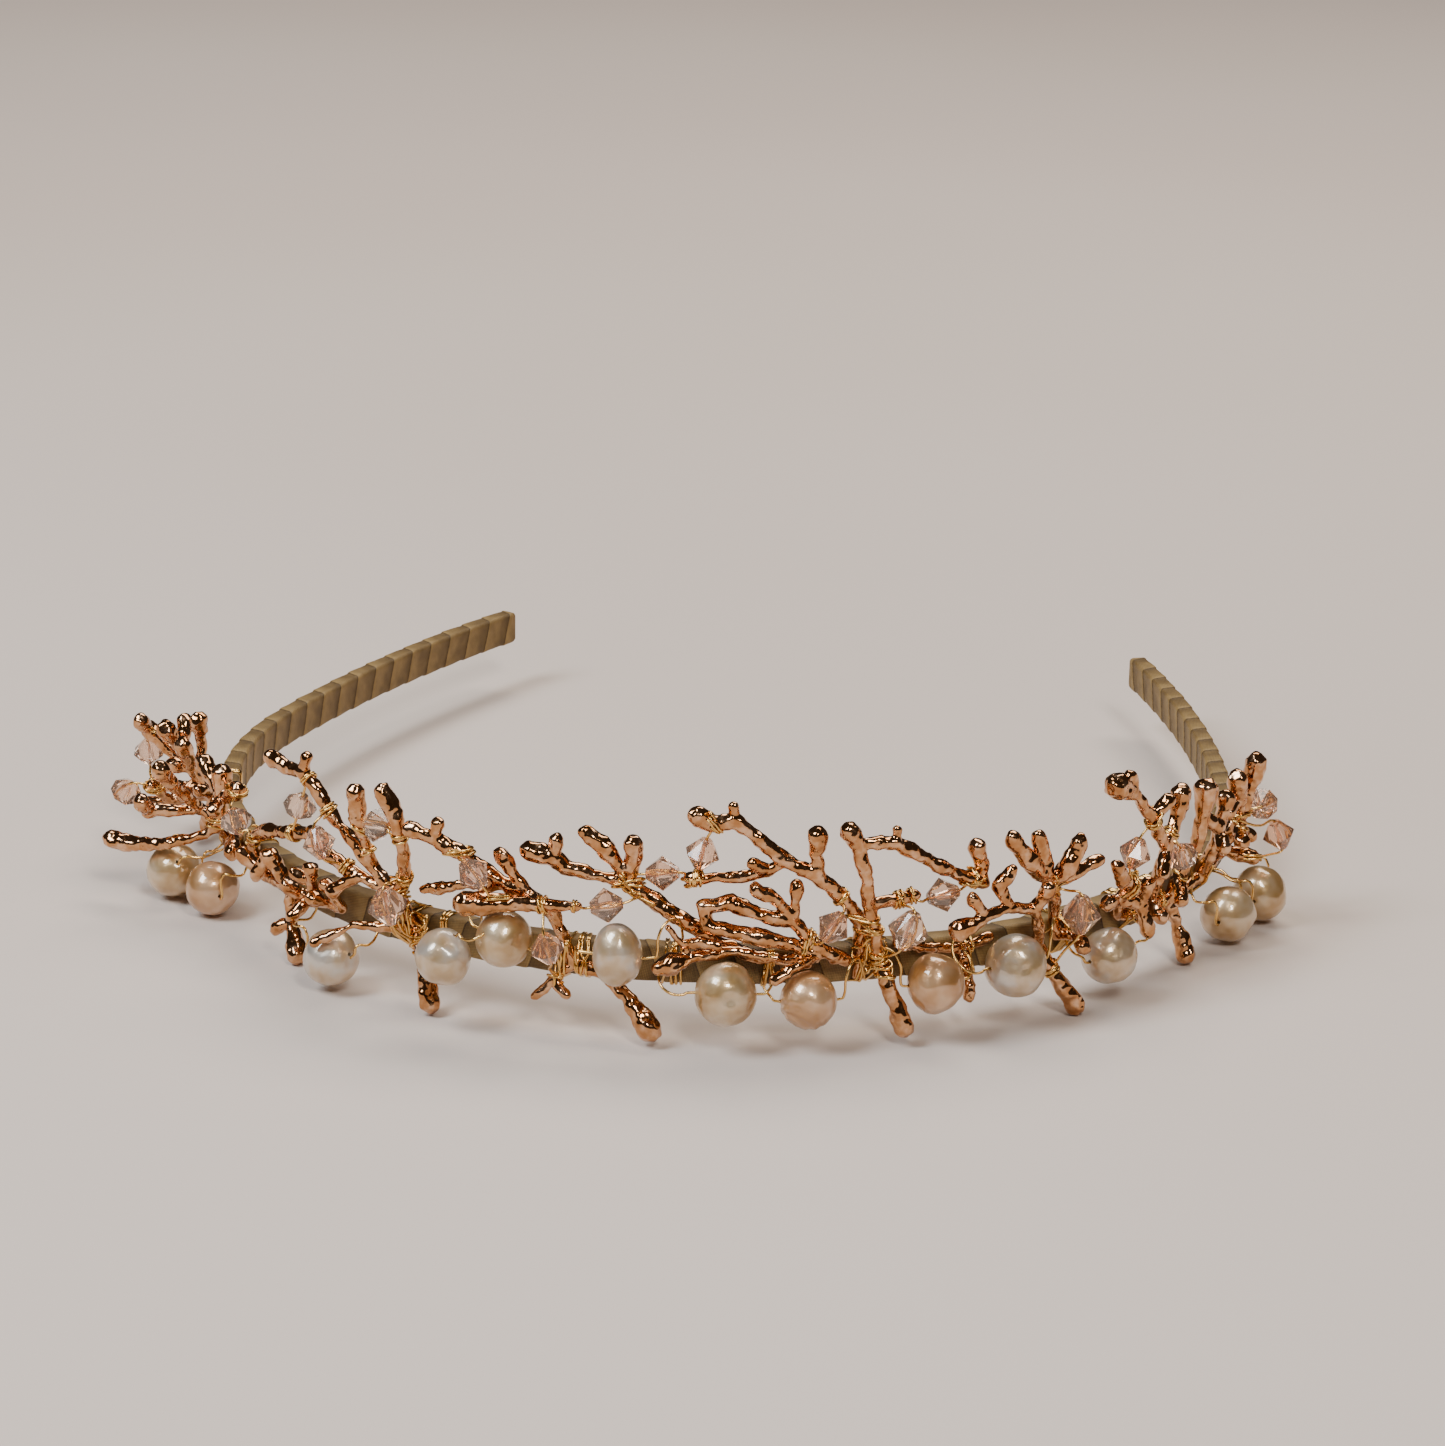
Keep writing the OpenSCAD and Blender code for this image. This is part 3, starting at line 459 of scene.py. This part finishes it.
# Each crystal: its size beside the common one, and the points on the twigs, along, out and up in millimetres, that
# its wire is wound on.
crystal_holds = {
    1: (1, (-85, 8.8, 6.6), (-88, 8.8, -1)), 2: (1, (-80, 10, -1), (-77.5, 8.6, 2.4)),
    3: (1, (-58, 1.2, 7.6), (-51, 2.4, 4.4)), 4: (1, (-36.4, 4.6, 16.4), (-41.4, 2.8, 8.2)),
    5: (1, (-34, 4, 13.2), (-32, 3.4, 6.8)), 6: (1, (-28.9, 4.2, 12.6), (-23, 5, 13)),
    7: (1.2, (-23.6, 3.4, 7.4), (-23.2, 1.4, -1.2)), 8: (1, (-16, 4.8, 12.5), (-11.2, 5.4, 7.6)),
    9: (1, (-6.6, 4.4, 7.2), (-5.4, 1.4, -2.2)), 10: (1, (-3, 3.8, 7.6), (4, 1, 8.4)),
    11: (1, (1.9, 0.9, 10), (9, 1.6, 11)), 12: (1, (9.4, 1.6, 11.2), (11, 2.8, 17.8)),
    13: (1, (21.6, 2.4, 4), (24.6, 2.8, 9.2)), 14: (1.2, (30.6, 3.8, 8.8), (28.9, 2.6, 1.6)),
    15: (1, (32.4, 3.6, 9), (39, 3.4, 10)), 16: (1.2, (49.8, 3, 7.2), (50, 2.6, -3)),
    17: (1, (61.4, 3, 5), (62.6, 4.6, 12.6)), 18: (1, (67.2, 3.6, 9.6), (72.4, 1.6, 2.8)),
    19: (1, (86.1, 3.6, 6.6), (92.2, 2.6, 5.8)), 20: (1, (87.4, 4.8, 0.6), (86, 3.3, 5.6)),
}


def at_band(point):
    return band_point(*(part * mm for part in point))


bpy.ops.mesh.primitive_circle_add(vertices=8, radius=hole_r, location=(0, 0, crystal_l / 2))
cut = bpy.context.object
cut.data.transform(cut.matrix_world)
cut.matrix_world = Matrix()
edit(cut)
radius = hole_r
for wide, drop, turn in ((crystal_end / 2, 0, 0), (crystal_d / 2, crystal_l / 2, pi / 8),
                         (crystal_end / 2, crystal_l / 2, pi / 8), (hole_r, 0, 0)):
    bpy.ops.mesh.extrude_edges_move(TRANSFORM_OT_translate={"value": (0, 0, -drop)})
    bpy.ops.transform.resize(value=(wide / radius, wide / radius, 1), center_override=(0, 0, 0))
    bpy.ops.transform.rotate(value=turn, orient_axis="Z", center_override=(0, 0, 0))
    radius = wide
bpy.ops.mesh.select_all(action="DESELECT")
bpy.ops.mesh.select_mode(type="EDGE")
bpy.ops.mesh.select_non_manifold()
bpy.ops.mesh.bridge_edge_loops()
bpy.ops.mesh.select_all(action="SELECT")
bpy.ops.mesh.quads_convert_to_tris(quad_method="SHORTEST_DIAGONAL")
bpy.ops.mesh.normals_make_consistent(inside=False)
done()

for number, (size, near, far) in crystal_holds.items():
    node = f"crystal_{number}"
    low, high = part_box(node)
    axis = (at_band(far) - at_band(near)).normalized()
    crystal = bpy.data.objects.new(f"{node}_cut", cut.data.copy())
    bpy.context.collection.objects.link(crystal)
    stand = axis.to_track_quat("Z", "Y").to_matrix().to_4x4() @ Matrix.Scale(size, 4)
    crystal.data.transform(Matrix.Translation((low + high) / 2) @ stand)
    crystal.data.materials.append(glass.material)
    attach(crystal, "crown")
    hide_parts(node)
bpy.data.objects.remove(cut)

# ---------------------------------------------------------------------------------------------------------------
# The wire: soft brass, gold plated. One gauge carries the pearls and crystals, and binds the twigs to the ribbon.

wire_r = 0.16 * mm
gold_wire = Finish("gold wire", Metallic=1.0)
drawn = gold_wire.place.noise(0.6 * mm, 3)
gold_wire.feed(Base_Color=drawn.ramp((0.3, (0.68, 0.38, 0.1)), (0.7, (0.88, 0.58, 0.22))),
               Roughness=0.16 + 0.14 * drawn)
gold_wire.bump(drawn, 0.01 * mm)


def wire(name, paths, node):
    """One piece of several wires, each bent smoothly through its points."""
    line = bpy.data.curves.new(name, "CURVE")
    line.dimensions, line.resolution_u = "3D", 4
    line.bevel_depth, line.bevel_resolution, line.use_fill_caps = wire_r, 2, True
    for path in paths:
        bend = line.splines.new("BEZIER")
        bend.bezier_points.add(len(path) - 1)
        for knot, point in zip(bend.bezier_points, path):
            knot.co, knot.handle_left_type, knot.handle_right_type = point, "AUTO", "AUTO"
    piece = bpy.data.objects.new(name, line)
    bpy.context.collection.objects.link(piece)
    pick(piece)
    bpy.ops.object.convert(target="MESH")
    smooth(piece)
    piece.data.materials.append(gold_wire.material)
    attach(piece, "crown")
    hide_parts(node)


# A way from a coil's middle that meets nothing counts as this long, and a turn that finds less than bare is left out.
least_felt, bare = 0.05 * mm, 0.3 * mm


def coil(middle, axis, turns, reach, pieces, pitch=0.36 * mm, slack=0.05):
    """A coil drawn tight round what lies within reach of its axis: it touches only what stands furthest out."""
    draw = random.Random(round((middle.x + middle.z) * 1e6))
    axis, steps, path = axis.normalized(), 20, []
    side = axis.cross(Vector((0.1, 0.2, 1))).normalized()
    step = 2 * pi / steps
    ways = [side * cos(step * i) + axis.cross(side) * sin(step * i) for i in range(steps)]
    for turn in range(turns):
        lean = Vector((draw.gauss(0, 1), draw.gauss(0, 1), draw.gauss(0, 1))) * slack
        centre = middle + axis * (turn - turns / 2 + draw.gauss(0, 0.12)) * pitch
        felt = []
        for way in ways:
            hits = [piece.ray_cast(centre + way * reach, -way, distance=reach) for piece in pieces]
            found = [(place - centre).length for hit, place, facing, face in hits if hit and facing.dot(way) > 0]
            felt.append(max(found + [least_felt]))
        if max(felt) < bare:
            continue
        for i, way in enumerate(ways):
            taut = felt[i]
            for m in range(1, 9):
                for n in range(1, 9 - m):
                    back, on = felt[i - m], felt[(i + n) % steps]
                    taut = max(taut, back * on * sin((m + n) * step) / (back * sin(m * step) + on * sin(n * step)))
            path.append(centre + way * (taut + wire_r * 0.9)
                        + axis * (pitch * i / steps + lean.dot(way) * reach))
    return path


# Round the band and the stems on it: how far along, how many turns, and how far the stems stand out.
bindings = {
    "left": ((-82.5, 4, 1.5), (-65, 4, 1.5), (-55, 3, 1.6), (-24.9, 6, 1.9), (-20.9, 3, 1.9)),
    "centre": ((-5.5, 4, 1.7), (-3.4, 4, 1.7), (6.6, 5, 2.6), (17.1, 3, 2.6)),
    "right": ((27.8, 6, 3), (40.4, 3, 1.6), (53, 4, 1.6), (63.2, 3, 1.5), (70, 4, 1.6), (80.5, 3, 1.6)),
}
# Round a knot of stems above the band: along, out and up, how many turns, their reach, and how far apart they lie.
windings = {
    "left": ((-25.2, 2.2, 4.8, 5, 2.4, 0.5), (-28.6, 3.4, 9.6, 2, 1.6, 0.4), (-50, 2.6, 5, 3, 1.6, 0.4),
             (-63, 2, 2.6, 3, 2, 0.4), (-22.4, 1.6, 3, 6, 2.6, 1.2), (-22.2, 1.4, 0, 4, 3, 1.1)),
    "centre": ((1.9, 1, 9.6, 3, 1.8, 0.4), (-16, 4.8, 12.5, 2, 1.6, 0.4), (9, 1.6, 10.8, 2, 1.5, 0.4)),
    "right": ((27.6, 3, 6, 5, 3, 0.42), (27.8, 2.6, 3, 4, 3, 1.4), (49.7, 2.8, 7, 3, 1.8, 0.4),
              (39, 3.4, 10, 3, 1.6, 0.4), (62, 3, 6, 3, 1.8, 0.4), (29.6, 2.6, 1, 5, 2.2, 0.7)),
}
loose = 0.14
for part in bindings:
    turns = []
    for along, count, stand in bindings[part]:
        ahead = at_band((along + 1, 0, 0)) - at_band((along, 0, 0))
        heart = at_band((along, (stand - band_t / mm) / 2, 0))
        turns.append(coil(heart, ahead, count, 3.1 * mm + stand * mm / 2, ribbons + twigs))
    turns += [coil(at_band((along, out, up)), Vector((0, 0, 1)), count, reach * mm, twigs, pitch * mm, loose)
              for along, out, up, count, reach, pitch in windings[part]]
    wire(f"bindings_{part}", turns, f"binding_wires_{part}")

# How a pearl's wire leaves its bore, as steps away from the pearl, out and up: tucked in under the pearl, over the
# top edge of the ribbon, in a loose curl below and back over, or hooked up and down on to the stems.
lays = {
    "tuck": ((0.5, 0.95, 0), (1.1, 0.6, -0.2), (1.2, 0.25, -0.1), (0.8, -0.1, 0)),
    "over": ((0.5, 0.97, 0.2), (1.2, 0.7, 1.2), (1.1, 0.32, 2.3), (0.7, 0.08, 3.0), (0.6, -0.2, 3.35),
             (0.5, -0.4, 2.7)),
    "curl": ((0.7, 1.05, -0.2), (2.3, 1.1, 0.2), (3.3, 0.8, 1.3), (3.0, 0.4, 2.2), (2.2, 0.12, 3.0),
             (1.6, -0.1, 3.35), (1.2, -0.3, 2.7)),
    "hook": ((0.4, 1.0, 0.5), (0.5, 1.05, 2.4), (1.2, 0.9, 4.0), (2.2, 0.65, 4.1), (2.7, 0.4, 2.7), (2.5, 0.12, 1.6),
             (2.3, -0.1, 1.0)),
}
tails = {1: ("over", "tuck"), 2: ("tuck", "over"), 3: ("curl", "over"), 4: ("tuck", "curl"), 5: ("over", "tuck"),
         6: ("tuck", "hook"), 7: ("curl", "over"), 8: ("over", "hook"), 9: ("hook", "over"), 10: ("curl", "hook"),
         11: ("over", "curl"), 12: ("over", "tuck"), 13: ("tuck", "over")}
threads = {"left": [], "centre": [], "right": []}
for number, (skin, tilt, rings, dents, corners) in kinds.items():
    low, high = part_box(f"pearl_{number}")
    middle, half = (low + high) / 2, (high - low).z / 2 / mm
    along, out, up = (part / mm for part in band_place(middle))
    path = []
    for side, lay in zip((-1, 1), tails[number]):
        run, lift = side * half * cos(radians(tilt)), side * half * sin(radians(tilt))
        ends = [at_band((along + run * 1.05, out, up + lift * 1.05))]
        for away, share, climb in lays[lay]:
            high_point = max(up + lift + climb, -2.2) if share > 0.3 else climb - 0.8 + 0.1 * up
            ends.append(at_band((along + run + side * away, max(out * share, -1.4), high_point)))
        path = ends[::-1] + path if side < 0 else path + ends
    threads["left" if number <= 4 else "centre" if number <= 8 else "right"].append(path)


def limb_at(point):
    """The nearest limb of a twig to a point: its middle and the way that it runs."""
    twig = min(twigs, key=lambda piece: (piece.closest_point_on_mesh(point)[1] - point).length)
    near = [vertex.co for vertex in twig.data.vertices if (vertex.co - point).length < 1.5 * mm]
    heart = sum(near, Vector()) / len(near)
    spread = Matrix(((0, 0, 0), (0, 0, 0), (0, 0, 0)))
    for place in near:
        part = (place - heart) / mm
        spread += Matrix([part * part[row] for row in range(3)])
    way = Vector((0.4, 0.5, 0.8))
    for i in range(12):
        way = (spread @ way).normalized()
    return heart, way, twig


draw = random.Random(3)
for number, (size, near, far) in crystal_holds.items():
    low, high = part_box(f"crystal_{number}")
    middle = (low + high) / 2
    axis = (at_band(far) - at_band(near)).normalized() * (size * crystal_l / 2 + 0.2 * mm)
    part = threads["left" if number <= 8 else "centre" if number <= 13 else "right"]
    ends = []
    for hold, end in ((at_band(near), middle - axis), (at_band(far), middle + axis)):
        heart, way, twig = limb_at(hold)
        part.append(coil(heart, way, draw.choice((2, 3)), 1.7 * mm, [twig]))
        slack = Vector((draw.gauss(0, 1), draw.gauss(0, 1), draw.gauss(0, 1))) * 0.3 * mm
        ends.append([heart, (heart + end) / 2 + slack, end])
    part.append(ends[0] + ends[1][::-1])
for part, paths in threads.items():
    wire(f"bead_threads_{part}", paths, f"bead_wires_{part}")

# ---------------------------------------------------------------------------------------------------------------
# The studio: a plain pale floor, soft windows to the left, to the right and behind, and the camera low in front and
# a little to the right.

bpy.ops.mesh.primitive_plane_add(size=1)
ground = bpy.context.object
ground.name = "studio_floor"
ground.data.transform(Matrix.Translation((0, 0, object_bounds()[0].z)) @ Matrix.Diagonal((12, 12, 1, 1)))
pale = Finish("pale floor", Roughness=0.9, Specular_IOR_Level=0.1)
pale.feed(Base_Color=pale.place.noise(0.25, 1).ramp((0.3, (0.7, 0.595, 0.52)), (0.7, (0.73, 0.63, 0.56))))
ground.data.materials.append(pale.material)

world = bpy.data.worlds.new("studio")
bpy.context.scene.world = world
world.use_nodes = True
world.node_tree.nodes["Background"].inputs["Color"].default_value = (0.9, 0.75, 0.66, 1)
world.node_tree.nodes["Background"].inputs["Strength"].default_value = 0.05
for name, place, wide, tall, watts, colour in (
        ("left window", (-0.5, -0.5, 0.8), 0.36, 0.5, 10, (0.84, 0.92, 1.0)),
        ("right window", (0.37, -0.75, 0.72), 0.18, 0.3, 5, (1.0, 0.97, 0.93)),
        ("back window", (0.1, 0.5, 0.9), 0.9, 0.45, 8.5, (1.0, 0.92, 0.84))):
    lamp = bpy.data.lights.new(name, "AREA")
    lamp.shape, lamp.size, lamp.size_y, lamp.energy, lamp.color = "RECTANGLE", wide, tall, watts, colour
    window = bpy.data.objects.new(name, lamp)
    bpy.context.collection.objects.link(window)
    window.visible_camera = False
    window.matrix_world = Matrix.Translation(place) @ Vector(place).to_track_quat("Z", "Y").to_matrix().to_4x4()

eye = Vector((101.1, -506.4, 171.5)) * mm
yaw, down, roll = radians(11.29), radians(18.37), radians(0.99)
forward = Vector((-cos(down) * sin(yaw), cos(down) * cos(yaw), -sin(down)))
right = Vector((cos(yaw), sin(yaw), 0))
over = Vector((-sin(yaw) * sin(down), cos(yaw) * sin(down), cos(down)))
across, upright = cos(roll) * right + sin(roll) * over, cos(roll) * over - sin(roll) * right
lens = bpy.data.cameras.new("camera")
lens.lens, lens.sensor_width, lens.shift_x, lens.shift_y = 106.9, 36, -0.003, 0.045
lens.clip_start = 0.01
camera = bpy.data.objects.new("camera", lens)
camera.matrix_world = Matrix.Translation(eye) @ Matrix((across, upright, -forward)).transposed().to_4x4()
bpy.context.collection.objects.link(camera)
bpy.context.scene.camera = camera
